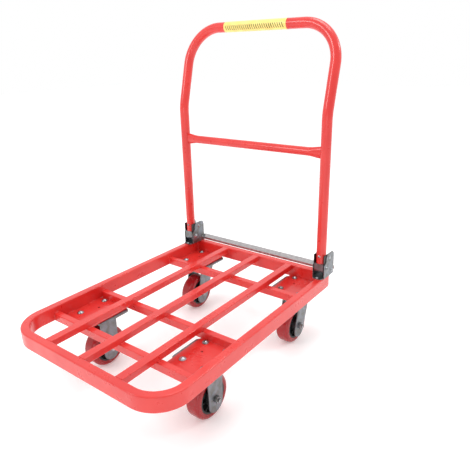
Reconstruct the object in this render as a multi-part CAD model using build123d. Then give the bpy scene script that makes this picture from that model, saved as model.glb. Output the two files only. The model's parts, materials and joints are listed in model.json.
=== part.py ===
from build123d import *
import math
import os

# Folding platform cart. Millimetres, +Z up, +Y towards the handle, floor at z = 0.
# The deck is a welded open frame on two fixed casters (front) and two swivel casters (rear).

# ---- driving sizes: deck frame ----
deck_length = 820.0
deck_width = 600.0
deck_height = 232.0          # floor to the top of the deck
rail_width = 24.0
rail_height = 45.0
rail_wall = 2.0
rail_edge_radius = 4.0
front_corner_radius = 98.0   # outside, in plan
rear_corner_radius = 30.0    # outside, in plan
bar_width = 25.0
bar_height = 20.0
bar_pitch = 139.0            # between the three long bars
bar_offset = 6.0             # the middle bar sits a little to the right of the middle
cross_width = 20.0
front_cross_setback = 134.0  # deck front edge to the front face of the first cross member
middle_cross_setback = 310.0
rear_cross_setback = 190.0    # deck rear edge to the front face of the rear cross member
tube_wall = 1.6
tube_edge_radius = 2.5
sheet_thickness = 3.0
sheet_width = 126.0          # from the inside of the rail
sheet_hole_diameter = 7.0
sheet_hole_offset_x = -16.0  # from the caster's middle, the same way on all four
sheet_hole_offset_y = 8.0

# ---- driving sizes: casters ----
wheel_diameter = 130.0
wheel_width = 46.0
tread_thickness = 17.0
tread_edge_radius = 5.0
hub_width = 58.0
hub_diameter = 44.0
caster_inset = 64.0            # inside of the side rail to the middle of a caster
front_caster_setback = 252.0   # deck front edge to the fixed casters' axles
rear_caster_setback = 58.0     # inside of the rear rail to the swivel casters' kingpins
caster_trail = 36.0
caster_plate_x = 142.0
caster_plate_y = 112.0
caster_plate_thickness = 5.0
caster_bolt_pitch_x = 72.0
caster_bolt_pitch_y = 93.0
caster_plate_radius = 12.0
fork_thickness = 4.0
fork_leg_width = 62.0
fork_leg_end_radius = 28.0
fork_leg_drop = 42.0           # below the axle
axle_diameter = 12.0
bearing_diameter = 32.0
bearing_width = 10.0
kingpin_diameter = 14.0
race_outer_diameter = 72.0
race_wall = 3.0
ball_diameter = 8.0
ball_count = 14

# ---- driving sizes: handle and hinge ----
handle_inset = 18.0            # side of the deck to the centre line of an upright
handle_top = 778.0             # deck top to the centre line of the top bar
handle_setback = 52.0          # deck rear edge to the uprights
handle_tube_diameter = 32.0
handle_tube_wall = 2.0
handle_bend_height = 522.0     # deck top to where the handle starts to lean back
handle_lean = 14.5             # degrees, above the bend
handle_bend_radius = 160.0
handle_corner_radius = 119.0
brace_diameter = 27.0
brace_height = 409.0
brace_end_height = 42.0
brace_end_thickness = 16.0
brace_taper_length = 46.0
label_length = 238.0
label_offset = -14.0
label_thickness = 0.4
hinge_height = 30.0            # deck top to the hinge pin
hinge_pin_diameter = 10.0
foot_height = 50.0             # deck top to the lower end of the painted tube
foot_plug_length = 34.0
cheek_thickness = 2.5
cheek_height = 82.0
cheek_front_height = 44.0
cheek_depth = 67.0
cheek_step = 13.0              # how far the tall rear part of a cheek is set back
cheek_corner_radius = 17.0
liner_thickness = 2.5
tongue_length = 13.0
tongue_radius = 8.0
foot_rivet_diameter = 5.0
foot_notch_depth = 4.0
stop_pin_diameter = 8.0
stop_pin_height = 66.0

# ---- driving sizes: foot release ----
pedal_depth = 35.0
pedal_thickness = 2.5
pedal_lip = 13.0               # rear edge, folded down
pedal_web = 9.0                # front edge, folded down
pedal_height = 6.5             # deck top to the top of the pedal
pedal_gap = 5.0                # deck rear edge to the pedal
pawl_thickness = 12.0
pawl_pin_diameter = 8.0
pawl_pin_height = 13.0
pawl_pin_setback = 13.0        # deck rear edge to the pawl's pin
spring_wire = 1.4
spring_turns = 4

# ---- fasteners and clearances ----
bolt_diameter = 8.0
bolt_head_diameter = 17.0
bolt_head_height = 4.5
screw_diameter = 6.0
screw_head_diameter = 11.0
screw_head_height = 3.2
washer_diameter = 20.0
washer_thickness = 1.6
nut_height = 6.5
nut_across_flats = 13.0
axle_nut_flats = 19.0
axle_nut_height = 9.0
axle_thread_end = 5.0
hole_clearance = 0.3           # radial, bolts through holes
running_fit = 0.06             # radial, pins that turn
side_gap = 0.3                 # between moving faces

# ---- places worked out from the sizes above ----
rear_reach = deck_length / 2 + pedal_gap + pedal_depth
deck_mid_y = -(rear_reach - deck_length / 2) / 2
front_y = deck_mid_y - deck_length / 2
rear_y = deck_mid_y + deck_length / 2
top_z = deck_height
rail_bottom = top_z - rail_height
rail_inner_x = deck_width / 2 - rail_width
rail_inner_front = front_y + rail_width
rail_inner_rear = rear_y - rail_width
bar_bottom = top_z - bar_height
cross_fronts = {
    "front": front_y + front_cross_setback,
    "middle": front_y + middle_cross_setback,
    "rear": rear_y - rear_cross_setback,
}
wheel_radius = wheel_diameter / 2
axle_z = wheel_radius
front_caster_y = front_y + front_caster_setback
kingpin_y = rail_inner_rear - rear_caster_setback
caster_x = rail_inner_x - caster_inset
rear_axle_y = kingpin_y - caster_trail
plate_bottom = rail_bottom - caster_plate_thickness
fork_gap = hub_width + 2 * side_gap
fork_outer = fork_gap + 2 * fork_thickness
crown_top = plate_bottom - ball_diameter - 2 * side_gap
tread_inner_radius = wheel_radius - tread_thickness
handle_y = rear_y - handle_setback
handle_span = deck_width - 2 * handle_inset   # between the centre lines of the uprights
handle_radius = handle_tube_diameter / 2
hinge_z = top_z + hinge_height
cheek_gap = handle_tube_diameter + 2 * (liner_thickness + side_gap)
bracket_width = cheek_gap + 2 * cheek_thickness
cheek_front_y = handle_y - handle_radius
cheek_rear_y = cheek_front_y + cheek_depth
stop_pin_y = handle_y + handle_radius + side_gap + stop_pin_diameter / 2
pawl_pin_y = rear_y - pawl_pin_setback
pawl_pin_z = top_z + pawl_pin_height
pedal_front = rear_y + pedal_gap
pedal_top = top_z + pedal_height
foot_rivet_z = top_z + foot_height + 0.75 * foot_plug_length


def block(x0, x1, y0, y1, z0, z1):
    """A box between two corners."""
    centre = ((x0 + x1) / 2, (y0 + y1) / 2, (z0 + z1) / 2)
    return Pos(*centre) * Box(x1 - x0, y1 - y0, z1 - z0)


def rod(x, y, z, diameter, length, along="z"):
    """A round rod centred on a point."""
    turn = {"x": Rot(0, 90, 0), "y": Rot(90, 0, 0), "z": Rot(0, 0, 0)}[along]
    return Pos(x, y, z) * turn * Cylinder(diameter / 2, length)


def ring(x, y, z, outer, inner, length, along="z"):
    """A round ring centred on a point."""
    return rod(x, y, z, outer, length, along) - rod(x, y, z, inner, length, along)


def hexagon(x, y, z, flats, height, bore, along="z"):
    """A hexagon nut or bolt head centred on a point."""
    turn = {"x": Rot(0, 90, 0), "z": Rot(0, 0, 0)}[along]
    outline = RegularPolygon(flats / 2, 6, major_radius=False)
    if bore > 0:
        outline = outline - Circle(bore / 2)
    body = extrude(outline, height / 2, both=True)
    return Pos(x, y, z) * turn * body


def side_plate(x0, x1, outline):
    """A flat plate across X, from an outline given in Y and Z."""
    face = Plane.YZ.offset(x0) * outline
    return extrude(face, x1 - x0, dir=(1, 0, 0))


def box_tube(x0, x1, y0, y1, z0, z1, wall, along):
    """A rectangular tube with rounded long edges, open at both ends."""
    outer = block(x0, x1, y0, y1, z0, z1)
    long_edges = outer.edges().filter_by(Axis.X if along == "x" else Axis.Y)
    outer = fillet(long_edges, tube_edge_radius)
    if along == "x":
        return outer - block(x0, x1, y0 + wall, y1 - wall, z0 + wall, z1 - wall)
    return outer - block(x0 + wall, x1 - wall, y0, y1, z0 + wall, z1 - wall)


def deck_outline(inset):
    """The deck's plan outline, moved inwards by inset."""
    half_x = deck_width / 2 - inset
    y0 = front_y + inset
    y1 = rear_y - inset
    outline = Pos(0, (y0 + y1) / 2) * Rectangle(2 * half_x, y1 - y0)
    corners = outline.vertices().sort_by(Axis.Y)
    outline = fillet(corners[:2], front_corner_radius - inset)
    corners = outline.vertices().sort_by(Axis.Y)
    return fillet(corners[-2:], rear_corner_radius - inset)


def deck_ring(inset, thickness, z0, z1, edge_radius):
    """A closed band that follows the deck's outline, with rounded edges."""
    plan = deck_outline(inset) - deck_outline(inset + thickness)
    band = extrude(Pos(0, 0, z0) * plan, z1 - z0)
    loops = band.edges().filter_by(lambda edge: abs(edge.start_point().Z - edge.end_point().Z) < 0.01)
    return fillet(loops, edge_radius)


def perimeter_rail():
    outer = deck_ring(0, rail_width, rail_bottom, top_z, rail_edge_radius)
    hollow = deck_ring(rail_wall, rail_width - 2 * rail_wall, rail_bottom + rail_wall,
                       top_z - rail_wall, rail_edge_radius - rail_wall)
    rail = outer - hollow
    for x, y in bracket_screw_places():
        rail -= rod(x, y, top_z, screw_diameter + 2 * hole_clearance, 2 * rail_edge_radius)
    return rail


def deck_bar(x):
    """A long bar, cut to the inside of the rail."""
    half = bar_width / 2
    bar = box_tube(x - half, x + half, rail_inner_front, rail_inner_rear, bar_bottom, top_z,
                   tube_wall, "y")
    return bar & extrude(Pos(0, 0, bar_bottom) * deck_outline(rail_width), bar_height)


def cross_member(y0):
    return box_tube(-rail_inner_x, rail_inner_x, y0, y0 + cross_width, rail_bottom, bar_bottom,
                    tube_wall, "x")


def caster_bolt_places(y):
    """Bolt centres of one caster, from the caster's own x."""
    return [(sx * caster_bolt_pitch_x / 2, y + sy * caster_bolt_pitch_y / 2)
            for sx in (-1, 1) for sy in (-1, 1)]


def caster_sheet(side, y0, y1, caster_y):
    inner, outer = sorted((side * (rail_inner_x - sheet_width), side * rail_inner_x))
    sheet = block(inner, outer, y0, y1, rail_bottom, rail_bottom + sheet_thickness)
    corners = sheet.edges().filter_by(Axis.Z)
    sheet = fillet(corners, max(rear_corner_radius - rail_width, 0) + 1)
    for x, y in caster_bolt_places(caster_y):
        sheet -= rod(side * caster_x + x, y, rail_bottom, bolt_diameter + 2 * hole_clearance, 20)
    drain_hole = rod(side * caster_x + sheet_hole_offset_x, caster_y + sheet_hole_offset_y,
                     rail_bottom, sheet_hole_diameter, 20)
    return sheet - drain_hole


def caster_plate(x, y):
    """The bolted top plate shared by both kinds of caster."""
    plate = block(x - caster_plate_x / 2, x + caster_plate_x / 2,
                  y - caster_plate_y / 2, y + caster_plate_y / 2, plate_bottom, rail_bottom)
    plate = fillet(plate.edges().filter_by(Axis.Z), caster_plate_radius)
    for bolt_x, bolt_y in caster_bolt_places(y):
        plate -= rod(x + bolt_x, bolt_y, plate_bottom, bolt_diameter + 2 * hole_clearance, 20)
    return plate


def leg_outline(crown_front, crown_rear, crown_z, axle_y):
    """Side view of a fork leg: wide at the crown, round below the axle."""
    end_z = axle_z - fork_leg_drop + fork_leg_end_radius
    crown = Polygon((crown_front, crown_z), (crown_rear, crown_z), (crown_rear, crown_z - 14),
                    (crown_front, crown_z - 14), align=None)
    end = Pos(axle_y, end_z) * Circle(fork_leg_end_radius)
    return make_hull(crown.edges() + end.edges())


def fork_legs(x, outline, axle_y):
    """Two pressed legs with an axle hole, and a rolled edge on the outside."""
    legs = []
    for sign in (-1, 1):
        inner, outer = sorted((x + sign * fork_gap / 2, x + sign * fork_outer / 2))
        leg = side_plate(inner, outer, outline)
        faces = leg.faces().sort_by(Axis.X)
        outside = faces[-1] if sign > 0 else faces[0]
        leg = fillet(outside.edges(), 1.5)
        legs.append(leg)
    both = legs[0] + legs[1]
    return both - rod(x, axle_y, axle_z, axle_diameter + 2 * running_fit, fork_outer + 20, "x")


def rigid_fork(x):
    half = fork_leg_width / 2
    outline = leg_outline(front_caster_y - half, front_caster_y + half, plate_bottom, front_caster_y)
    crown = block(x - fork_outer / 2, x + fork_outer / 2, front_caster_y - half,
                  front_caster_y + half, plate_bottom - fork_thickness, plate_bottom)
    return caster_plate(x, front_caster_y) + crown + fork_legs(x, outline, front_caster_y)


def swivel_plate(x):
    """Top plate with the pressed cup that covers the swivel balls."""
    cup = ring(x, kingpin_y, plate_bottom - ball_diameter / 2, race_outer_diameter,
               race_outer_diameter - 2 * race_wall, ball_diameter)
    bore = rod(x, kingpin_y, plate_bottom, kingpin_diameter, 30)
    return caster_plate(x, kingpin_y) + cup - bore


def swivel_fork(x):
    half = fork_leg_width / 2
    crown_z = crown_top - fork_thickness
    outline = leg_outline(kingpin_y - half, kingpin_y + half, crown_top, rear_axle_y)
    crown = rod(x, kingpin_y, (crown_top + crown_z) / 2, race_outer_diameter, fork_thickness)
    crown += block(x - fork_outer / 2, x + fork_outer / 2, kingpin_y - half, kingpin_y + half,
                   crown_z, crown_top)
    bore = rod(x, kingpin_y, crown_z, kingpin_diameter + 2 * running_fit, 30)
    return crown + fork_legs(x, outline, rear_axle_y) - bore


def kingpin(x):
    nut_top = crown_top - fork_thickness - side_gap
    pin = rod(x, kingpin_y, (rail_bottom + nut_top - nut_height) / 2, kingpin_diameter,
              rail_bottom - nut_top + nut_height)
    nut = hexagon(x, kingpin_y, nut_top - nut_height / 2, axle_nut_flats + 3, nut_height, 0)
    return pin + nut


def swivel_balls(x):
    pitch_radius = (race_outer_diameter / 2 - race_wall) - ball_diameter / 2 - side_gap
    z = plate_bottom - side_gap / 2 - ball_diameter / 2
    return [Pos(x, kingpin_y, z) * Rot(0, 0, i * 360 / ball_count) * Pos(pitch_radius, 0, 0)
            * Sphere(ball_diameter / 2) for i in range(ball_count)]


def wheel_tread(x, y):
    tread = ring(x, y, axle_z, wheel_diameter, 2 * tread_inner_radius, wheel_width, "x")
    rims = [edge for edge in tread.edges().filter_by(GeomType.CIRCLE)
            if edge.radius > wheel_radius - 0.1]
    return fillet(rims, tread_edge_radius)


def wheel_core(x, y):
    """Moulded core: rim, thin web and hub, with seats for the bearings."""
    rim = ring(x, y, axle_z, 2 * tread_inner_radius, 2 * tread_inner_radius - 12, wheel_width, "x")
    web = ring(x, y, axle_z, 2 * tread_inner_radius - 10, hub_diameter - 2, wheel_width - 24, "x")
    hub = rod(x, y, axle_z, hub_diameter, hub_width, "x")
    core = rim + web + hub
    core -= rod(x, y, axle_z, axle_diameter + 6, hub_width, "x")
    for sign in (-1, 1):
        seat_x = x + sign * (hub_width - bearing_width) / 2
        core -= rod(seat_x, y, axle_z, bearing_diameter, bearing_width, "x")
    return core


def wheel_bearings(x, y):
    return [ring(x + sign * (hub_width - bearing_width) / 2, y, axle_z, bearing_diameter,
                 axle_diameter + 2 * running_fit, bearing_width, "x") for sign in (-1, 1)]


def axle_bolt(x, y, side):
    """Axle bolt with its head towards the middle of the cart."""
    head = hexagon(x - side * (fork_outer / 2 + axle_nut_height / 2), y, axle_z, axle_nut_flats,
                   axle_nut_height, 0, "x")
    length = fork_outer + axle_nut_height + axle_thread_end
    shank = rod(x + side * (axle_nut_height + axle_thread_end) / 2, y, axle_z, axle_diameter,
                length, "x")
    return head + shank


def axle_nut(x, y, side):
    return hexagon(x + side * (fork_outer / 2 + axle_nut_height / 2), y, axle_z, axle_nut_flats,
                   axle_nut_height, axle_diameter, "x")


def dome_head(diameter, height):
    """A low domed screw head that stands on z = 0."""
    sphere_radius = (diameter ** 2 / 4 + height ** 2) / (2 * height)
    dome = Pos(0, 0, height - sphere_radius) * Sphere(sphere_radius)
    return dome & Pos(0, 0, height / 2) * Box(diameter * 2, diameter * 2, height)


def caster_fixings():
    """Bolts, washers and nuts that hold the four casters to their sheets."""
    bolts, washers, nuts = [], [], []
    sheet_top = rail_bottom + sheet_thickness
    head_z = sheet_top + washer_thickness
    end_z = plate_bottom - nut_height - 3
    for side in (-1, 1):
        for caster_y in (front_caster_y, kingpin_y):
            for bolt_x, y in caster_bolt_places(caster_y):
                x = side * caster_x + bolt_x
                shank = rod(x, y, (head_z + end_z) / 2, bolt_diameter, head_z - end_z)
                bolts.append(Pos(x, y, head_z) * dome_head(bolt_head_diameter, bolt_head_height)
                             + shank)
                washers.append(ring(x, y, sheet_top + washer_thickness / 2, washer_diameter,
                                    bolt_diameter + 2 * hole_clearance, washer_thickness))
                nuts.append(hexagon(x, y, plate_bottom - nut_height / 2, nut_across_flats,
                                    nut_height, bolt_diameter))
    return bolts, washers, nuts


def cheek_outline():
    """Side view of a hinge cheek: low at the front, tall and round at the rear."""
    y0, y1 = cheek_front_y, cheek_rear_y
    tall_y = y0 + cheek_step
    low_z = top_z + cheek_front_height
    high_z = top_z + cheek_height
    outline = Polygon((y0, top_z), (y0, low_z), (tall_y, low_z + cheek_step), (tall_y, high_z),
                      (y1, high_z), (y1, top_z), align=None)
    crown = [v for v in outline.vertices() if v.Y > high_z - 0.1]
    return fillet(crown, cheek_corner_radius)


def hinge_bracket(side):
    """Pressed bracket: base plate with a tongue, and two cheeks."""
    x = side * handle_span / 2
    half = bracket_width / 2
    base = block(x - half, x + half, cheek_front_y, cheek_rear_y, top_z, top_z + cheek_thickness)
    tongue = block(x - half + 4, x + half - 4, cheek_front_y - tongue_length, cheek_front_y + 1,
                   top_z, top_z + cheek_thickness)
    tongue_front = tongue.edges().filter_by(Axis.Z).sort_by(Axis.Y)[:2]
    bracket = base + fillet(tongue_front, tongue_radius)
    for sign in (-1, 1):
        inner, outer = sorted((x + sign * cheek_gap / 2, x + sign * half))
        bracket += side_plate(inner, outer, cheek_outline())
    across = bracket_width + 20
    bracket -= rod(x, handle_y, hinge_z, hinge_pin_diameter, across, "x")
    bracket -= rod(x, stop_pin_y, top_z + stop_pin_height, stop_pin_diameter, across, "x")
    bracket -= rod(x, pawl_pin_y, pawl_pin_z, pawl_pin_diameter, across, "x")
    for screw_x, y in bracket_screw_places():
        bracket -= rod(screw_x, y, top_z, screw_diameter + 2 * hole_clearance, 20)
    return bracket


def bracket_screw_places():
    """One screw in each tongue and one between the cheeks, behind the handle."""
    front = cheek_front_y - tongue_length / 2
    rear = handle_y + handle_radius + screw_head_diameter / 2 + 3
    return [(side * handle_span / 2, y) for side in (-1, 1) for y in (front, rear)]


def bracket_screws():
    """Screws that hold both brackets to the deck rail."""
    screws = []
    for x, y in bracket_screw_places():
        head = Pos(x, y, top_z + cheek_thickness) * dome_head(screw_head_diameter,
                                                              screw_head_height)
        screws.append(head + rod(x, y, top_z, screw_diameter, 2 * cheek_thickness))
    return screws


def cross_pins(y, z, diameter, head_diameter, head_height):
    """One pin for each bracket, headed outside both cheeks."""
    pins = []
    for side in (-1, 1):
        x = side * handle_span / 2
        pin = rod(x, y, z, diameter, bracket_width, "x")
        for sign in (-1, 1):
            head = dome_head(head_diameter, head_height)
            pin += Pos(x + sign * bracket_width / 2, y, z) * Rot(0, sign * 90, 0) * head
        pins.append(pin)
    return pins


def hinge_liners():
    """Nylon pads between the cheeks and the handle."""
    liners = []
    pad_z0 = top_z + foot_height + side_gap
    pad_z1 = top_z + cheek_height - 2
    pad_y0 = cheek_front_y
    pad_y1 = stop_pin_y - stop_pin_diameter / 2 - 2
    for side in (-1, 1):
        x = side * handle_span / 2
        for sign in (-1, 1):
            inner, outer = sorted((x + sign * (handle_radius + side_gap), x + sign * cheek_gap / 2))
            liners.append(block(inner, outer, pad_y0, pad_y1, pad_z0, pad_z1))
    return liners


def handle_route():
    """Centre line of the handle: up, leaning back, across and down again."""
    lean_rise = handle_top - handle_bend_height
    top_y = handle_y + lean_rise * math.tan(math.radians(handle_lean))
    half = handle_span / 2
    points = [(-half, handle_y, top_z + foot_height), (-half, handle_y, top_z + handle_bend_height),
              (-half, top_y, top_z + handle_top), (half, top_y, top_z + handle_top),
              (half, handle_y, top_z + handle_bend_height), (half, handle_y, top_z + foot_height)]
    radii = [handle_bend_radius, handle_corner_radius, handle_corner_radius, handle_bend_radius]
    return FilletPolyline(*points, radius=radii, close=False)


def handle_tube():
    route = handle_route()
    start = Plane(origin=(-handle_span / 2, handle_y, top_z + foot_height), z_dir=(0, 0, 1))
    section = Circle(handle_radius) - Circle(handle_radius - handle_tube_wall)
    tube = sweep(start * section, path=route)
    for side in (-1, 1):
        tube -= rivet_hole(side)
    return tube


def rivet_hole(side):
    return rod(side * handle_span / 2, handle_y, foot_rivet_z, foot_rivet_diameter,
               handle_tube_diameter + 10, "y")


def handle_foot(side):
    """Steel foot plugged into the tube, round around the hinge pin."""
    x = side * handle_span / 2
    half = handle_radius
    shank = block(x - half, x + half, handle_y - half, handle_y + half, hinge_z,
                  top_z + foot_height)
    foot = shank + rod(x, handle_y, hinge_z, 2 * half, 2 * half, "x")
    plug_radius = handle_radius - handle_tube_wall - side_gap / 2
    plug = rod(x, handle_y, top_z + foot_height + foot_plug_length / 2, 2 * plug_radius,
               foot_plug_length)
    foot = foot + plug - rod(x, handle_y, hinge_z, hinge_pin_diameter + 2 * running_fit, 80, "x")
    notch_half = pawl_thickness / 2 + 1
    notch = block(x - notch_half, x + notch_half, handle_y + half - foot_notch_depth,
                  handle_y + half, hinge_z - notch_half, hinge_z)
    return foot - notch - rivet_hole(side)


def foot_rivets():
    """Rivets through the tube and the foot's plug."""
    head = dome_head(2 * foot_rivet_diameter, foot_rivet_diameter / 2)
    rivets = []
    for side in (-1, 1):
        x = side * handle_span / 2
        tube = rod(x, handle_y, foot_rivet_z, handle_tube_diameter, 4 * foot_rivet_diameter)
        cap = Pos(x, handle_y - handle_radius + 1, foot_rivet_z) * Rot(90, 0, 0) * head
        rivets.append(cap - tube + (rivet_hole(side) & tube))
    return rivets


def brace_section(offset, height, thickness):
    plane = Plane(origin=(offset, handle_y, top_z + brace_height), x_dir=(0, 1, 0), z_dir=(1, 0, 0))
    return plane * Ellipse(thickness / 2, height / 2)


def handle_brace():
    """Cross tube with flattened ends, cut to fit the uprights."""
    end_x = handle_span / 2
    middle_x = end_x - brace_taper_length - handle_radius
    middle = rod(0, handle_y, top_z + brace_height, brace_diameter, 2 * middle_x, "x")
    brace = middle
    for sign in (-1, 1):
        inner = brace_section(sign * middle_x, brace_diameter, brace_diameter)
        outer = brace_section(sign * end_x, brace_end_height, brace_end_thickness)
        brace += loft([inner, outer])
    for sign in (-1, 1):
        brace -= rod(sign * end_x, handle_y, top_z + brace_height, handle_tube_diameter, 200)
    largest = brace.solids().sort_by(SortBy.VOLUME)[-1]
    return largest


def handle_label():
    lean_rise = handle_top - handle_bend_height
    top_y = handle_y + lean_rise * math.tan(math.radians(handle_lean))
    return ring(label_offset, top_y, top_z + handle_top, handle_tube_diameter + 2 * label_thickness,
                handle_tube_diameter + 0.02, label_length, "x")


def release_pedal():
    """Folded pedal bar behind the deck, with a lip along its rear edge."""
    half = handle_span / 2 + pawl_thickness / 2
    tread = block(-half, half, pedal_front, pedal_front + pedal_depth,
                  pedal_top - pedal_thickness, pedal_top)
    lip = block(-half, half, pedal_front + pedal_depth - pedal_thickness,
                pedal_front + pedal_depth, pedal_top - pedal_lip, pedal_top)
    web = block(-half, half, pedal_front, pedal_front + pedal_thickness, pedal_top - pedal_web,
                pedal_top)
    pedal = tread + lip + web
    rear_edge = pedal.edges().filter_by(Axis.X).sort_by(lambda e: e.center().Y + e.center().Z)[-1]
    return fillet(rear_edge, pedal_thickness * 0.8)


def release_pawl(side):
    """Lever on each side: nose behind the handle foot, tail under the pedal."""
    x = side * handle_span / 2
    nose_y = handle_y + handle_radius + side_gap
    nose_z = hinge_z - 7
    eye = Pos(pawl_pin_y, pawl_pin_z) * Circle(pawl_pin_diameter / 2 + 3.5)
    nose = Pos(nose_y + 4, nose_z) * Circle(3)
    tail_end = pedal_front + pedal_depth * 0.6
    upper = make_hull(eye.edges() + nose.edges())
    tail = Polygon((pawl_pin_y, pedal_top), (tail_end, pedal_top), (tail_end - 6, pedal_top + 7),
                   (pawl_pin_y, pawl_pin_z + 5), align=None)
    half = pawl_thickness / 2
    pawl = side_plate(x - half, x + half, upper) + side_plate(x - half, x + half, tail)
    return pawl - rod(x, pawl_pin_y, pawl_pin_z, pawl_pin_diameter + 2 * running_fit, 60, "x")


def release_springs():
    """Close-wound return springs round the pawl pins, each turn a plain ring."""
    springs = []
    coil_radius = pawl_pin_diameter / 2 + side_gap + spring_wire / 2
    pitch = spring_wire * 0.8
    for side in (-1, 1):
        x0 = side * handle_span / 2 + pawl_thickness / 2 + side_gap + spring_wire / 2
        turns = [Pos(x0 + i * pitch, pawl_pin_y, pawl_pin_z) * Rot(0, 90, 0)
                 * Torus(coil_radius, spring_wire / 2) for i in range(spring_turns)]
        springs.append(turns[0].fuse(*turns[1:]))
    return springs


def solids_of(shape):
    items = shape if isinstance(shape, list) else [shape]
    return [solid for item in items for solid in item.solids()]


def save(name, shape):
    solids = solids_of(shape)
    part = solids[0] if len(solids) == 1 else Compound(children=solids)
    export_step(part, os.path.join("parts", name + ".step"))


def build():
    os.makedirs("parts", exist_ok=True)
    sides = {"left": -1, "right": 1}

    save("perimeter_rail", perimeter_rail())
    for name, step in (("left", -1), ("middle", 0), ("right", 1)):
        save("deck_bar_" + name, deck_bar(bar_offset + step * bar_pitch))
    for name, y0 in cross_fronts.items():
        save("cross_member_" + name, cross_member(y0))
    for name, side in sides.items():
        front_y0 = cross_fronts["front"] + cross_width
        save("caster_sheet_front_" + name,
             caster_sheet(side, front_y0, cross_fronts["middle"], front_caster_y))
        rear_y0 = cross_fronts["rear"] + cross_width
        save("caster_sheet_rear_" + name, caster_sheet(side, rear_y0, rail_inner_rear, kingpin_y))

    bolts, washers, nuts = caster_fixings()
    save("caster_bolts", bolts)
    save("caster_washers", washers)
    save("caster_nuts", nuts)

    front_bolts, front_nuts, kingpins, balls = [], [], [], []
    for name, side in sides.items():
        x = side * caster_x
        save("rigid_fork_" + name, rigid_fork(x))
        save("swivel_plate_" + name, swivel_plate(x))
        save("swivel_fork_" + name, swivel_fork(x))
        save("rear_axle_bolt_" + name, axle_bolt(x, rear_axle_y, side))
        save("rear_axle_nut_" + name, axle_nut(x, rear_axle_y, side))
        front_bolts.append(axle_bolt(x, front_caster_y, side))
        front_nuts.append(axle_nut(x, front_caster_y, side))
        kingpins.append(kingpin(x))
        balls += swivel_balls(x)
        for end, y in (("front", front_caster_y), ("rear", rear_axle_y)):
            save("wheel_tread_" + end + "_" + name, wheel_tread(x, y))
            save("wheel_core_" + end + "_" + name, wheel_core(x, y))
            save("wheel_bearings_" + end + "_" + name, wheel_bearings(x, y))
    save("front_axle_bolts", front_bolts)
    save("front_axle_nuts", front_nuts)
    save("kingpins", kingpins)
    save("swivel_balls", balls)

    for name, side in sides.items():
        save("hinge_bracket_" + name, hinge_bracket(side))
        save("handle_foot_" + name, handle_foot(side))
        save("release_pawl_" + name, release_pawl(side))
    save("bracket_screws", bracket_screws())
    save("hinge_pins", cross_pins(handle_y, hinge_z, hinge_pin_diameter, 18, 5))
    save("stop_pins", cross_pins(stop_pin_y, top_z + stop_pin_height, stop_pin_diameter, 13, 3))
    save("pawl_pins", cross_pins(pawl_pin_y, pawl_pin_z, pawl_pin_diameter, 13, 3))
    save("hinge_liners", hinge_liners())
    save("release_springs", release_springs())
    save("release_pedal", release_pedal())
    save("handle_tube", handle_tube())
    save("handle_brace", handle_brace())
    save("handle_foot_rivets", foot_rivets())
    save("handle_label", handle_label())


build()
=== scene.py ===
import json
import math

import bmesh
import bpy
from bpy.props import FloatProperty, FloatVectorProperty, IntProperty, PointerProperty, StringProperty
from bpy.types import Operator, Panel, PropertyGroup
from mathutils import Matrix, Vector

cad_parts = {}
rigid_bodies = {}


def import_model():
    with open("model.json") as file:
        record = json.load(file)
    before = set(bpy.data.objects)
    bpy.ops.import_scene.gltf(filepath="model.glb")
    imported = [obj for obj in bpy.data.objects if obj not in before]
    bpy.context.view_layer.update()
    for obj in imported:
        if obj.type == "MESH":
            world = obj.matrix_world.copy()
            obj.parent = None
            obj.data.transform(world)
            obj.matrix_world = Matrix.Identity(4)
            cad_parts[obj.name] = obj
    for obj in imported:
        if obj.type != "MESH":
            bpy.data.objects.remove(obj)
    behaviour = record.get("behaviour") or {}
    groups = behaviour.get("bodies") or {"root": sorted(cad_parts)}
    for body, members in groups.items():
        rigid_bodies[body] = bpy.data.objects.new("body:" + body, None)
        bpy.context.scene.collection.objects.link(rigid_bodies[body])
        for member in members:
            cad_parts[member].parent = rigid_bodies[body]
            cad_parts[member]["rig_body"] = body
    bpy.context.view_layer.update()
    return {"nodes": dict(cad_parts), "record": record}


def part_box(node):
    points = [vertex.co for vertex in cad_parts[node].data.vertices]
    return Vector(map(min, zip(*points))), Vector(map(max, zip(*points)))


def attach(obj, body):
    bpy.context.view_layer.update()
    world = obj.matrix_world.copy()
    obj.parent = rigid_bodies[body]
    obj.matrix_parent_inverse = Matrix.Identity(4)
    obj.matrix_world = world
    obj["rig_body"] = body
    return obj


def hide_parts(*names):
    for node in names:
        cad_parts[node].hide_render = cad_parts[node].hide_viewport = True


bl_info = {
    "name": "Folding platform cart",
    "version": (1, 0, 0),
    "blender": (4, 5, 0),
    "location": "View3D > Sidebar > Cart",
    "description": "Finishes a folding platform cart around its packed frame",
    "category": "Object",
}

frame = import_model()

MM = 0.001
X, Y, Z = Vector((1, 0, 0)), Vector((0, 1, 0)), Vector((0, 0, 1))
SIDES = ("left", "right")
MERGE = 0.01 * MM

slot_of = {part["node"]: part["material_slot"] for part in frame["record"]["subparts"]}
materials = {}


# ---- sizes and colours a user would change ----

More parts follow.
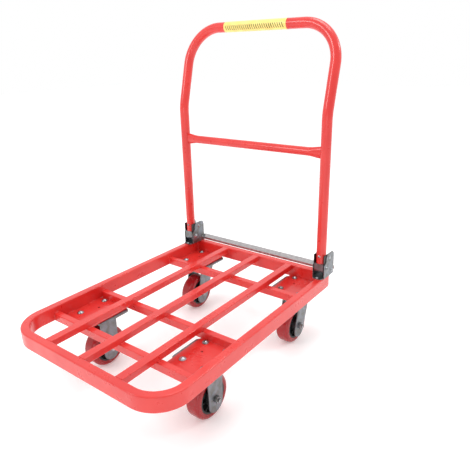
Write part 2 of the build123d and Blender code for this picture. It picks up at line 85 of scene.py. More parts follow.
class CartSizes(PropertyGroup):
    """Sizes of the shapes that are built here. The rest comes from the frame."""

    front_corner: FloatProperty(name="Front corner",
                                description="Outer plan radius of the deck's front corners",
                                default=98 * MM, subtype="DISTANCE", unit="LENGTH")
    rear_corner: FloatProperty(name="Rear corner",
                               description="Outer plan radius of the deck's rear corners",
                               default=30 * MM, subtype="DISTANCE", unit="LENGTH")
    rail_width: FloatProperty(name="Rail width", description="Width of the perimeter rail",
                              default=24 * MM, subtype="DISTANCE", unit="LENGTH")
    rail_round: FloatProperty(name="Rail edge", description="Radius of the rail's long edges",
                              default=4 * MM, subtype="DISTANCE", unit="LENGTH")
    bar_round: FloatProperty(name="Bar edge", description="Radius of the bars' long edges",
                             default=2.5 * MM, subtype="DISTANCE", unit="LENGTH")
    tube_radius: FloatProperty(name="Handle tube", description="Radius of the handle's tube",
                               default=16 * MM, subtype="DISTANCE", unit="LENGTH")
    handle_lean: FloatProperty(name="Lean", description="How far the handle leans back above its bend",
                               default=math.radians(14.5), subtype="ANGLE", unit="ROTATION")
    handle_bend: FloatProperty(name="Side bend",
                               description="Centre line radius of the bend in each upright",
                               default=160 * MM, subtype="DISTANCE", unit="LENGTH")
    handle_corner: FloatProperty(name="Top corner", description="Centre line radius of the top corners",
                                 default=119 * MM, subtype="DISTANCE", unit="LENGTH")
    brace_taper: FloatProperty(name="Brace taper",
                               description="Length of the cross tube's flattened ends",
                               default=46 * MM, subtype="DISTANCE", unit="LENGTH")
    weld_radius: FloatProperty(name="Weld bead", description="Radius of a painted weld bead",
                               default=2.2 * MM, subtype="DISTANCE", unit="LENGTH")
    weld_pitch: FloatProperty(name="Weld ripple", description="Distance between two ripples of a bead",
                              default=3.2 * MM, subtype="DISTANCE", unit="LENGTH")
    hub_radius: FloatProperty(name="Hub", description="Radius of a wheel's hub",
                              default=22 * MM, subtype="DISTANCE", unit="LENGTH")
    rim_wall: FloatProperty(name="Rim", description="Thickness of a wheel core's rim",
                            default=6 * MM, subtype="DISTANCE", unit="LENGTH")
    tread_round: FloatProperty(name="Tread edge", description="Radius of the tread's outer edges",
                               default=11 * MM, subtype="DISTANCE", unit="LENGTH")
    rib_count: IntProperty(name="Ribs", description="Ribs on each side of a wheel core",
                           default=8, min=3, max=16)
    sheet_edge: FloatProperty(name="Sheet edge", description="Rounding of sheared and stamped edges",
                              default=0.5 * MM, subtype="DISTANCE", unit="LENGTH")


class CartColours(PropertyGroup):
    """Colours as sRGB hex values."""

    paint: StringProperty(name="Powder coat", description="Red of the painted steel", default="#D32622")
    paint_light: StringProperty(name="Powder coat, thin",
                                description="Where the coat is thinner",
                                default="#DC312B")
    zinc: StringProperty(name="Zinc plate",
                         description="Bright zinc on forks, brackets and feet",
                         default="#85898F")
    zinc_warm: StringProperty(name="Zinc tint",
                              description="Yellowish patches of the passivated zinc",
                              default="#74736F")
    galvanised: StringProperty(name="Galvanised sheet", description="The foot pedal", default="#C9C4C5")
    fastener: StringProperty(name="Fasteners",
                             description="Plated bolts, nuts and washers",
                             default="#B9BCC2")
    bearing: StringProperty(name="Bearing steel", description="Ground steel", default="#9C9DA0")
    spring: StringProperty(name="Spring steel", description="Oiled wire", default="#5A5B5E")
    oil: StringProperty(name="Oil tint",
                        description="Oily patches on ground and drawn steel",
                        default="#4E4B45")
    tread: StringProperty(name="Tread", description="Cast polyurethane", default="#9C161D")
    core: StringProperty(name="Wheel core", description="Moulded polypropylene", default="#18181A")
    nylon: StringProperty(name="Pads", description="Nylon pads beside the handle", default="#1B1011")
    film: StringProperty(name="Label film", description="Yellow vinyl film", default="#F0D879")
    print_marks: StringProperty(name="Label marks",
                                description="Plain strokes on the film",
                                default="#4E4A14")
    floor: StringProperty(name="Floor", description="Pale studio floor", default="#FAFAFA")


class CartView(PropertyGroup):
    """Where the camera stands."""

    azimuth: FloatProperty(name="Azimuth",
                           description="Camera direction, from straight in front towards +X",
                           default=math.radians(36.98), subtype="ANGLE", unit="ROTATION")
    elevation: FloatProperty(name="Elevation", description="Camera direction above the horizontal",
                             default=math.radians(20.76), subtype="ANGLE", unit="ROTATION")
    roll: FloatProperty(name="Roll", description="Turn about the line of sight",
                        default=math.radians(-1.37), subtype="ANGLE", unit="ROTATION")
    aim: FloatVectorProperty(name="Aim", description="Point that the camera looks at",
                             default=(-0.1834, 0.4918, 0.232), subtype="XYZ", unit="LENGTH")
    distance: FloatProperty(name="Distance", description="From the aim to the camera",
                            default=1.9753, subtype="DISTANCE", unit="LENGTH")
    lens: FloatProperty(name="Lens",
                        description="Focal length in millimetres on a 36 mm sensor",
                        default=36.96)


def sizes():
    """The sizes as they stand."""
    return bpy.context.scene.cart_sizes


def colours():
    """The colours as they stand."""
    return bpy.context.scene.cart_colours


# ---- materials ----

def linear(code):
    """A hex sRGB colour as linear RGBA."""
    channels = [int(code[i:i + 2], 16) / 255 for i in (1, 3, 5)]
    return [c / 12.92 if c <= 0.04045 else ((c + 0.055) / 1.055) ** 2.4 for c in channels] + [1.0]


def add(tree, kind, sockets=None, **settings):
    """Adds a node with its settings, and sets or links its inputs.

    A colour Mix node's inputs 0, 6 and 7 are its share and its two colours."""
    node = tree.nodes.new("ShaderNode" + kind)
    for name, value in settings.items():
        setattr(node, name, value)
    for name, value in (sockets or {}).items():
        if isinstance(value, bpy.types.Node):
            value = next(output for output in value.outputs if output.enabled)
        if isinstance(value, bpy.types.NodeSocket):
            tree.links.new(value, node.inputs[name])
        else:
            node.inputs[name].default_value = value
    return node


def material(name):
    """An empty material, and the object's own coordinates in millimetres."""
    made = bpy.data.materials.new(name)
    made.use_nodes = True
    tree = made.node_tree
    tree.nodes.clear()
    place = add(tree, "TexCoord").outputs["Object"]
    mm = add(tree, "VectorMath", {0: place, 1: (1000, 1000, 1000)}, operation="MULTIPLY")
    return made, tree, mm


def powder_coat():
    """Gloss polyester powder coat on welded steel: soft orange peel, slightly uneven colour and gloss."""
    made, tree, mm = material("powder_coated_steel")
    red = linear(colours().paint)
    chalky = [channel * 0.85 + 0.05 for channel in red[:3]] + [1.0]
    cloud = add(tree, "TexNoise", {"Vector": mm, "Scale": 1 / 90, "Detail": 3})
    share = add(tree, "MapRange", {"Value": cloud, "From Min": 0.35, "From Max": 0.65})
    colour = add(tree, "Mix", {0: share, 6: red, 7: linear(colours().paint_light)}, data_type="RGBA")
    # rubbed patches, where loads have slid over the coat and made it paler
    patches = add(tree, "TexNoise", {"Vector": mm, "Scale": 1 / 28, "Detail": 6, "Roughness": 0.7})
    rubbed = add(tree, "MapRange", {"Value": patches, "From Min": 0.56, "From Max": 0.82, "To Max": 0.35})
    colour = add(tree, "Mix", {0: rubbed, 6: colour, 7: chalky}, data_type="RGBA")
    smear = add(tree, "TexNoise", {"Vector": mm, "Scale": 1 / 35, "Detail": 5})
    gloss = add(tree, "MapRange", {"Value": smear, "From Min": 0.35, "From Max": 0.65,
                                   "To Min": 0.26, "To Max": 0.38})
    # the peel of a real coat is about 1 mm across: it is drawn at 3 mm so that it shows
    peel = add(tree, "TexNoise", {"Vector": mm, "Scale": 1 / 3, "Detail": 1})
    bump = add(tree, "Bump", {"Height": peel, "Distance": 0.05 * MM, "Strength": 0.5})
    shader = add(tree, "BsdfPrincipled", {"Base Color": colour, "Roughness": gloss, "Normal": bump,
                                          "IOR": 1.5, "Coat Weight": 0.4, "Coat Roughness": 0.08})
    add(tree, "OutputMaterial", {"Surface": shader})
    return made


def plated(name, colour, tint, rough, grain, depth):
    """Plated or ground steel: clouded tint, uneven gloss, and a grain of some millimetres."""
    made, tree, mm = material(name)
    cloud = add(tree, "TexNoise", {"Vector": mm, "Scale": 1 / 22, "Detail": 4, "Distortion": 0.6})
    share = add(tree, "MapRange", {"Value": cloud, "From Min": 0.42, "From Max": 0.66})
    clouded = add(tree, "Mix", {0: share, 6: linear(colour), 7: linear(tint)}, data_type="RGBA")
    smear = add(tree, "TexNoise", {"Vector": mm, "Scale": 1 / 9, "Detail": 6, "Roughness": 0.65})
    gloss = add(tree, "MapRange", {"Value": smear, "From Min": 0.35, "From Max": 0.65,
                                   "To Min": rough, "To Max": rough + 0.2})
    rolled = add(tree, "TexNoise", {"Vector": mm, "Scale": 1 / grain, "Detail": 2})
    bump = add(tree, "Bump", {"Height": rolled, "Distance": depth * MM, "Strength": 0.6})
    shader = add(tree, "BsdfPrincipled", {"Base Color": clouded, "Roughness": gloss, "Normal": bump,
                                          "Metallic": 1.0})
    add(tree, "OutputMaterial", {"Surface": shader})
    return made


def zinc_plate():
    """Bright passivated zinc over pressed steel: bluish grey with warm patches and a soft sheen."""
    return plated("zinc_plated_steel", colours().zinc, colours().zinc_warm, 0.30, 1.2, 0.03)


def fastener_steel():
    """Zinc plated bolts: a little brighter and smoother than the pressings."""
    return plated("zinc_plated_fasteners", colours().fastener, colours().zinc_warm, 0.22, 0.8, 0.02)


def bearing_steel():
    """Ground bearing steel: grey and glossy, with faint oily patches."""
    return plated("ground_bearing_steel", colours().bearing, colours().oil, 0.15, 0.6, 0.01)


def spring_steel():
    """Oiled spring wire: dark, with drawing marks."""
    return plated("oiled_spring_steel", colours().spring, colours().oil, 0.28, 0.5, 0.02)


def galvanised():
    """Hot dip galvanised sheet: frosted crystals about 7 mm across, each with its own grey and gloss."""
    made, tree, mm = material("galvanised_sheet_steel")
    grey = linear(colours().galvanised)
    dark = [channel * 0.62 for channel in grey[:3]] + [1.0]
    crystals = add(tree, "TexVoronoi", {"Vector": mm, "Scale": 1 / 7, "Randomness": 1.0})
    tone = add(tree, "SeparateColor", {"Color": crystals.outputs["Color"]})
    frost = add(tree, "TexNoise", {"Vector": mm, "Scale": 1 / 3, "Detail": 4})
    both = add(tree, "Math", {0: tone, 1: frost}, operation="MULTIPLY")
    share = add(tree, "MapRange", {"Value": both, "From Max": 0.6})
    colour = add(tree, "Mix", {0: share, 6: dark, 7: grey}, data_type="RGBA")
    gloss = add(tree, "MapRange", {"Value": tone, "To Min": 0.32, "To Max": 0.55})
    bump = add(tree, "Bump", {"Height": frost, "Distance": 0.05 * MM, "Strength": 0.6})
    shader = add(tree, "BsdfPrincipled", {"Base Color": colour, "Roughness": gloss, "Normal": bump,
                                          "Metallic": 1.0})
    add(tree, "OutputMaterial", {"Surface": shader})
    return made


def worn_plastic(name, colour, worn, ior, size, gloss_low, gloss_high, grain):
    """A moulded or cast plastic: scuffs of some size in millimetres over a fine grain."""
    made, tree, mm = material(name)
    patches = add(tree, "TexNoise", {"Vector": mm, "Scale": 1 / size, "Detail": 6, "Roughness": 0.7})
    scuff = add(tree, "MapRange", {"Value": patches, "From Min": 0.52, "From Max": 0.75, "To Max": 0.45})
    mixed = add(tree, "Mix", {0: scuff, 6: colour, 7: worn}, data_type="RGBA")
    gloss = add(tree, "MapRange", {"Value": scuff, "From Max": 0.45, "To Min": gloss_low,
                                   "To Max": gloss_high})
    fine = add(tree, "TexNoise", {"Vector": mm, "Scale": 1 / grain, "Detail": 1})
    bump = add(tree, "Bump", {"Height": fine, "Distance": 0.04 * MM, "Strength": 0.5})
    shader = add(tree, "BsdfPrincipled", {"Base Color": mixed, "Roughness": gloss, "Normal": bump,
                                          "IOR": ior})
    add(tree, "OutputMaterial", {"Surface": shader})
    return made


def polyurethane():
    """Cast polyurethane tread: deep red, waxy gloss, faint dusty scuffs from rolling."""
    red = linear(colours().tread)
    dusty = [channel * 0.75 + 0.04 for channel in red[:3]] + [1.0]
    return worn_plastic("cast_polyurethane", red, dusty, 1.49, 6, 0.16, 0.42, 1.5)


def wheel_core_plastic():
    """Moulded polypropylene wheel core: near black, with a spark eroded grain."""
    black = linear(colours().core)
    rubbed = [channel * 1.6 + 0.01 for channel in black[:3]] + [1.0]
    return worn_plastic("moulded_polypropylene", black, rubbed, 1.49, 14, 0.42, 0.57, 0.9)


def nylon_pad():
    """Moulded nylon glide pad: dark and slightly waxy."""
    dark = linear(colours().nylon)
    rubbed = [channel * 1.6 + 0.01 for channel in dark[:3]] + [1.0]
    return worn_plastic("moulded_nylon", dark, rubbed, 1.53, 14, 0.38, 0.53, 0.7)


def vinyl_film():
    """Printed vinyl film: yellow, with a row of plain uneven strokes and a clear margin."""
    made, tree, mm = material("printed_vinyl_film")
    low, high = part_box("handle_label")
    yellow = linear(colours().film)
    pale = [min(1, channel * 1.15 + 0.03) for channel in yellow[:3]] + [1.0]
    local = add(tree, "VectorMath", {0: mm, 1: (low + high) / 2 / MM}, operation="SUBTRACT")
    axes = add(tree, "SeparateXYZ", {"Vector": local})
    # even bars 8 mm apart that lean one in three, in a band 15 mm high and 8 mm from each end
    lean = add(tree, "Math", {0: axes.outputs["Z"], 1: 0.35, 2: axes.outputs["X"]}, operation="MULTIPLY_ADD")
    across = add(tree, "Math", {0: lean, 1: 8.0}, operation="FLOORED_MODULO")
    stroke = add(tree, "Math", {0: across, 1: 3.6}, operation="LESS_THAN")
    band = add(tree, "Math", {0: axes.outputs["Z"], 1: -3.0, 2: 7.5}, operation="COMPARE")
    inside = add(tree, "Math", {0: axes.outputs["X"], 1: 0.0, 2: (high.x - low.x) / 2 / MM - 8},
                 operation="COMPARE")
    printed = add(tree, "Math", {0: band, 1: inside}, operation="MULTIPLY")
    printed = add(tree, "Math", {0: printed, 1: stroke}, operation="MULTIPLY")
    fade = add(tree, "TexNoise", {"Vector": mm, "Scale": 1 / 3, "Detail": 3})
    fade = add(tree, "MapRange", {"Value": fade, "From Min": 0.35, "From Max": 0.65, "To Min": 0.65})
    ink = add(tree, "Math", {0: printed, 1: fade}, operation="MULTIPLY")
    cloud = add(tree, "TexNoise", {"Vector": mm, "Scale": 1 / 18})
    share = add(tree, "MapRange", {"Value": cloud, "From Min": 0.35, "From Max": 0.65})
    film = add(tree, "Mix", {0: share, 6: yellow, 7: pale}, data_type="RGBA")
    colour = add(tree, "Mix", {0: ink, 6: film, 7: linear(colours().print_marks)}, data_type="RGBA")
    gloss = add(tree, "MapRange", {"Value": cloud, "To Min": 0.25, "To Max": 0.5})
    crease = add(tree, "TexNoise", {"Vector": mm, "Scale": 1 / 12, "Detail": 1})
    bump = add(tree, "Bump", {"Height": crease, "Distance": 0.08 * MM, "Strength": 0.4})
    shader = add(tree, "BsdfPrincipled", {"Base Color": colour, "Roughness": gloss, "Normal": bump,
                                          "IOR": 1.46, "Coat Weight": 0.2})
    add(tree, "OutputMaterial", {"Surface": shader})
    return made


FINISHES = {
    "red_paint": powder_coat,
    "zinc_plate": zinc_plate,
    "galvanised": galvanised,
    "fastener": fastener_steel,
    "bearing_steel": bearing_steel,
    "spring_steel": spring_steel,
    "tread": polyurethane,
    "wheel_core": wheel_core_plastic,
    "nylon": nylon_pad,
    "label_film": vinyl_film,
}


# ---- shared mesh work ----

def shade(mesh, sharp_degrees=38):
    """Smooth faces, with sharp edges kept where the surface turns."""
    for face in mesh.faces:
        face.smooth = True
    for edge in mesh.edges:
        edge.smooth = edge.calc_face_angle(0) < math.radians(sharp_degrees)


def piece(mesh, name, body, slot, replaced=(), bevel=0.0, outward=True):
    """Turns a bmesh into a finished piece that rides on a body."""
    bmesh.ops.remove_doubles(mesh, verts=mesh.verts, dist=MERGE)
    if outward:
        bmesh.ops.recalc_face_normals(mesh, faces=mesh.faces)
    shade(mesh)
    data = bpy.data.meshes.new(name)
    mesh.to_mesh(data)
    mesh.free()
    data.materials.append(materials[slot])
    made = bpy.data.objects.new(name, data)
    bpy.context.scene.collection.objects.link(made)
    if bevel > 0:
        rounding = made.modifiers.new("edge_rounding", "BEVEL")
        rounding.width = bevel
        rounding.segments = 2
        rounding.limit_method = "ANGLE"
        rounding.angle_limit = math.radians(38)
    normals = made.modifiers.new("flat_faces", "WEIGHTED_NORMAL")
    normals.keep_sharp = True
    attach(made, body)
    if replaced:
        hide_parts(*replaced)
    return made


def body_of(node):
    """The body that a CAD node rides on."""
    return frame["nodes"][node]["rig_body"]


def refined(node, bevel=0.0):
    """A merged and smooth copy of a CAD node, which stands for it."""
    mesh = bmesh.new()
    mesh.from_mesh(frame["nodes"][node].data)
    bmesh.ops.remove_doubles(mesh, verts=mesh.verts, dist=MERGE)
    bmesh.ops.dissolve_limit(mesh, angle_limit=math.radians(0.4), verts=mesh.verts, edges=mesh.edges)
    return piece(mesh, node + "_finish", body_of(node), slot_of[node], [node], bevel, outward=False)


def islands(node):
    """The lowest and highest corner of each separate solid of a CAD node."""
    mesh = bmesh.new()
    mesh.from_mesh(frame["nodes"][node].data)
    bmesh.ops.remove_doubles(mesh, verts=mesh.verts, dist=MERGE)
    left = set(mesh.verts)
    found = []
    while left:
        front = [left.pop()]
        corners = [front[0].co.copy(), front[0].co.copy()]
        while front:
            vert = front.pop()
            corners[0] = Vector(map(min, corners[0], vert.co))
            corners[1] = Vector(map(max, corners[1], vert.co))
            for edge in vert.link_edges:
                other = edge.other_vert(vert)
                if other in left:
                    left.remove(other)
                    front.append(other)
        found.append(corners)
    mesh.free()
    return found


def edges_in(geometry):
    return [item for item in geometry if isinstance(item, bmesh.types.BMEdge)]


def verts_in(geometry):
    return [item for item in geometry if isinstance(item, bmesh.types.BMVert)]


def outline(mesh, points, rounds=()):
    """A closed loop of edges through a few points, with some corners rounded."""
    verts = [mesh.verts.new(point) for point in points]
    face = mesh.faces.new(verts)
    loop = set(face.edges)
    for corners, radius, segments in rounds:
        chosen = [verts[i] for i in corners]
        before = set(mesh.edges)
        bmesh.ops.bevel(mesh, geom=chosen, offset=radius, segments=segments, profile=0.5,
                        affect="VERTICES", material=-1)
        loop = {edge for edge in loop | (set(mesh.edges) - before) if edge.is_valid}
    faces = {face for edge in loop for face in edge.link_faces}
    loop = [edge for edge in faces.pop().edges]
    filled = list({face for edge in loop for face in edge.link_faces})
    bmesh.ops.delete(mesh, geom=filled, context="FACES_ONLY")
    return loop


def carry(mesh, loop, point, heading, steps):
    """Carries a loop of edges along runs and round bends, leaving a wall behind it.

    A step is a length to run, or a bend's radius, axis, angle and number of facets."""
    for step in steps:
        if isinstance(step, tuple):
            radius, axis, angle, facets = step
            centre = point + radius * axis.cross(heading)
            turned = bmesh.ops.spin(mesh, geom=loop, cent=centre, axis=axis, angle=angle, steps=facets)
            loop = edges_in(turned["geom_last"])
            turn = Matrix.Rotation(angle, 3, axis)
            point = centre + turn @ (point - centre)
            heading = turn @ heading
        else:
            grown = bmesh.ops.extrude_edge_only(mesh, edges=loop)["geom"]
            bmesh.ops.translate(mesh, verts=verts_in(grown), vec=heading * step)
            point = point + heading * step
            loop = edges_in(grown)
            ends = set(verts_in(grown))
            loop = [edge for edge in loop if edge.verts[0] in ends and edge.verts[1] in ends]
    return loop


def ring_loop(mesh, point, heading, radius, segments):
    """A circle of edges round a point, square to a heading."""
    turn = heading.to_track_quat("Z", "Y").to_matrix().to_4x4()
    made = bmesh.ops.create_circle(mesh, segments=segments, radius=radius,
                                   matrix=Matrix.Translation(point) @ turn)
    found = {edge for vert in made["verts"] for edge in vert.link_edges}
    return list(found)


def bar_block(mesh, low, high, axis, radius, segments=4):
    """A bar with rounded long edges."""
    place = Matrix.Translation((low + high) / 2) @ Matrix.Diagonal((high - low).to_4d())
    made = bmesh.ops.create_cube(mesh, size=1, matrix=place)
    edges = {edge for vert in made["verts"] for edge in vert.link_edges}
    long_edges = [e for e in edges if abs((e.verts[0].co - e.verts[1].co).normalized().dot(axis)) > 0.9]
    bmesh.ops.bevel(mesh, geom=long_edges, offset=radius, segments=segments, profile=0.5,
                    affect="EDGES", material=-1)


def bead(mesh, start, end):
    """A rippled weld bead between two points, closed at both ends."""
    run = end - start
    heading = run.normalized()
    ripples = max(2, round(run.length / sizes().weld_pitch))
    radius = sizes().weld_radius
    loop = ring_loop(mesh, start, heading, radius * 0.45, 8)
    first = loop
    for i in range(2 * ripples):
        grown = bmesh.ops.extrude_edge_only(mesh, edges=loop)["geom"]
        verts = verts_in(grown)
        bmesh.ops.translate(mesh, verts=verts, vec=run / (2 * ripples))
        middle = start + run * (i + 1) / (2 * ripples)
        wide = radius if i % 2 == 0 else radius * 0.8
        if i == 2 * ripples - 1:
            wide = radius * 0.45
        now = (verts[0].co - middle).length
        scale = wide / now
        bmesh.ops.scale(mesh, verts=verts, vec=(scale, scale, scale), space=Matrix.Translation(-middle))
        ends = set(verts)
        loop = [e for e in edges_in(grown) if e.verts[0] in ends and e.verts[1] in ends]
    bmesh.ops.edgeloop_fill(mesh, edges=first)
    bmesh.ops.edgeloop_fill(mesh, edges=loop)


# ---- pieces ----

class CART_OT_finishes(Operator):
    """Makes every material and gives it to the CAD nodes of its slot"""

    bl_idname = "cart.finishes"
    bl_label = "Finishes"

    def execute(self, context):
        for slot, make in FINISHES.items():
            materials[slot] = make()
        for node, made in frame["nodes"].items():
            made.data.materials.clear()
            made.data.materials.append(materials[slot_of[node]])
        return {"FINISHED"}


class CART_OT_rail(Operator):
    """Bends the perimeter rail from one length of rounded tube"""

    bl_idname = "cart.rail"
    bl_label = "Perimeter rail"

    def execute(self, context):
        low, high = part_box("perimeter_rail")
        width, round_edge = sizes().rail_width, sizes().rail_round
        mesh = bmesh.new()
        start = Vector((low.x + width / 2, (low.y + high.y) / 2, (low.z + high.z) / 2))
        half = Vector((width / 2, 0, (high.z - low.z) / 2))
        corners = [start + Vector((sx * half.x, 0, sz * half.z)) for sx, sz in
                   ((-1, -1), (1, -1), (1, 1), (-1, 1))]
        loop = outline(mesh, corners, [(range(4), round_edge, 6)])
        rear = sizes().rear_corner - width / 2
        front = sizes().front_corner - width / 2
        straight = (high.y - low.y) / 2
        across = high.x - low.x
        quarter = math.pi / 2
        clockwise = -Z
        rear_bend, front_bend = (rear, clockwise, quarter, 14), (front, clockwise, quarter, 28)
        steps = [straight - sizes().rear_corner, rear_bend, across - 2 * sizes().rear_corner, rear_bend,
                 2 * straight - sizes().rear_corner - sizes().front_corner, front_bend,
                 across - 2 * sizes().front_corner, front_bend, straight - sizes().front_corner]
        carry(mesh, loop, start, Y, steps)
        piece(mesh, "perimeter_rail_tube", "deck", "red_paint", ["perimeter_rail"])
        return {"FINISHED"}


class CART_OT_bars(Operator):
    """Makes the long bars and the cross members as rounded tubes"""

    bl_idname = "cart.bars"
    bl_label = "Bars and cross members"

    def execute(self, context):
        places = [("deck_bar_" + n, Y) for n in ("left", "middle", "right")]
        places += [("cross_member_" + n, X) for n in ("front", "middle", "rear")]
        for node, axis in places:
            mesh = bmesh.new()
            low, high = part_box(node)
            bar_block(mesh, low, high, axis, sizes().bar_round)
            piece(mesh, node + "_tube", "deck", "red_paint", [node])
        return {"FINISHED"}


class CART_OT_welds(Operator):
    """Lays painted weld beads where bars, cross members and sheets meet"""

    bl_idname = "cart.welds"
    bl_label = "Weld beads"

    def execute(self, context):
        mesh = bmesh.new()
        inset = sizes().bar_round
        bars = [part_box("deck_bar_" + n) for n in ("left", "middle", "right")]
        crosses = [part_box("cross_member_" + n) for n in ("front", "middle", "rear")]
        for low, high in bars:
            for y in (low.y, high.y):
                z = high.z - 0.6 * sizes().weld_radius
                bead(mesh, Vector((low.x + inset, y, z)), Vector((high.x - inset, y, z)))
                for x in (low.x, high.x):
                    bead(mesh, Vector((x, y, low.z + inset)), Vector((x, y, high.z - inset)))
            for cross_low, cross_high in crosses:
                for x in (low.x, high.x):
                    bead(mesh, Vector((x, cross_low.y + inset, low.z)),
                         Vector((x, cross_high.y - inset, low.z)))
        for low, high in crosses:
            for x in (low.x, high.x):
                bead(mesh, Vector((x, low.y + inset, high.z)), Vector((x, high.y - inset, high.z)))
                for y in (low.y, high.y):
                    bead(mesh, Vector((x, y, low.z + inset)), Vector((x, y, high.z - inset)))
        stitch = 26 * MM
        for end in ("front", "rear"):
            for side in SIDES:
                low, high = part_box("caster_sheet_%s_%s" % (end, side))
                edge = low.x if side == "left" else high.x
                for share in (0.25, 0.75):
                    y = low.y + share * (high.y - low.y)
                    bead(mesh, Vector((edge, y - stitch / 2, high.z)),
                         Vector((edge, y + stitch / 2, high.z)))
                    x = low.x + share * (high.x - low.x)
                    for y in (low.y, high.y):
                        bead(mesh, Vector((x - stitch / 2, y, high.z)), Vector((x + stitch / 2, y, high.z)))
        piece(mesh, "deck_weld_beads", "deck", "red_paint")
        return {"FINISHED"}


class CART_OT_pressings(Operator):
    """Rounds the sheared edges of the sheets, forks, brackets, feet and pawls"""

    bl_idname = "cart.pressings"
    bl_label = "Pressed parts"

    def execute(self, context):
        edge = sizes().sheet_edge
        for side in SIDES:
            for node in ("caster_sheet_front_", "caster_sheet_rear_", "rigid_fork_", "swivel_plate_",
                         "swivel_fork_", "hinge_bracket_", "handle_foot_", "release_pawl_"):
                refined(node + side, edge)
        refined("release_pedal", edge)
        refined("hinge_liners", edge)
        return {"FINISHED"}


class CART_OT_wheels(Operator):
    """Spins the treads and the ribbed cores"""

    bl_idname = "cart.wheels"
    bl_label = "Wheels"

    def execute(self, context):
        for end in ("front", "rear"):
            for side in SIDES:
                self.tread(end + "_" + side)
                self.core(end + "_" + side)
        return {"FINISHED"}

    def tread(self, wheel):
        """A domed tyre with a small step beside the rim."""
        low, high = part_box("wheel_tread_" + wheel)
        core_low, core_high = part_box("wheel_core_" + wheel)
        centre = (low + high) / 2
        outer, inner = (high.z - low.z) / 2, (core_high.z - core_low.z) / 2
        half = (high.x - low.x) / 2
        step, lip = 1.2 * MM, 4 * MM
        side = [(half, outer), (half, inner + lip + step), (half - step, inner + lip), (half - step, inner)]
        points = [(-x, r) for x, r in reversed(side)] + side
        mesh = bmesh.new()
        loop = outline(mesh, [centre + Vector((x, 0, r)) for x, r in points],
                       [((3, 4), sizes().tread_round, 6), ((2, 5), 0.6 * MM, 2)])
        bmesh.ops.spin(mesh, geom=loop, cent=centre, axis=X, angle=2 * math.pi, steps=72, use_merge=True)
        piece(mesh, "tread_" + wheel, body_of("wheel_tread_" + wheel), "tread", ["wheel_tread_" + wheel])

    def core(self, wheel):
        """Rim, web and hub in one turned shape, with ribs across the web."""
        low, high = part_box("wheel_core_" + wheel)
        tread_low, tread_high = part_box("wheel_tread_" + wheel)
        seat_low, seat_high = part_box("wheel_bearings_" + wheel)
        centre = (low + high) / 2
        rim, hub_half = (high.z - low.z) / 2, (high.x - low.x) / 2
        rim_half = (tread_high.x - tread_low.x) / 2 - 1.4 * MM
        web_half = rim_half / 2
        seat = (seat_high.z - seat_low.z) / 2
        hub, rim_inner = sizes().hub_radius, rim - sizes().rim_wall
        side = [(rim_half, rim), (rim_half, rim_inner), (web_half, rim_inner - 2 * MM),
                (web_half, hub + 3 * MM), (hub_half, hub), (hub_half, seat)]
        points = side + [(-x, r) for x, r in reversed(side)]
        mesh = bmesh.new()
        loop = outline(mesh, [centre + Vector((x, 0, r)) for x, r in points],
                       [((1, 10), 1.5 * MM, 3), ((2, 3, 8, 9), 1.5 * MM, 3), ((4, 7), 1.5 * MM, 3)])
        bmesh.ops.spin(mesh, geom=loop, cent=centre, axis=X, angle=2 * math.pi, steps=64, use_merge=True)
        rib_low, rib_high = hub - 1 * MM, rim_inner + 1 * MM
        for i in range(sizes().rib_count):
            turn = Matrix.Rotation(2 * math.pi * i / sizes().rib_count, 4, "X")
            place = (Matrix.Translation(centre) @ turn
                     @ Matrix.Translation((0, 0, (rib_low + rib_high) / 2))
                     @ Matrix.Diagonal((2 * rim_half - 5 * MM, 3 * MM, rib_high - rib_low, 1)))
            bmesh.ops.create_cube(mesh, size=1, matrix=place)
        piece(mesh, "core_" + wheel, body_of("wheel_core_" + wheel), "wheel_core", ["wheel_core_" + wheel])


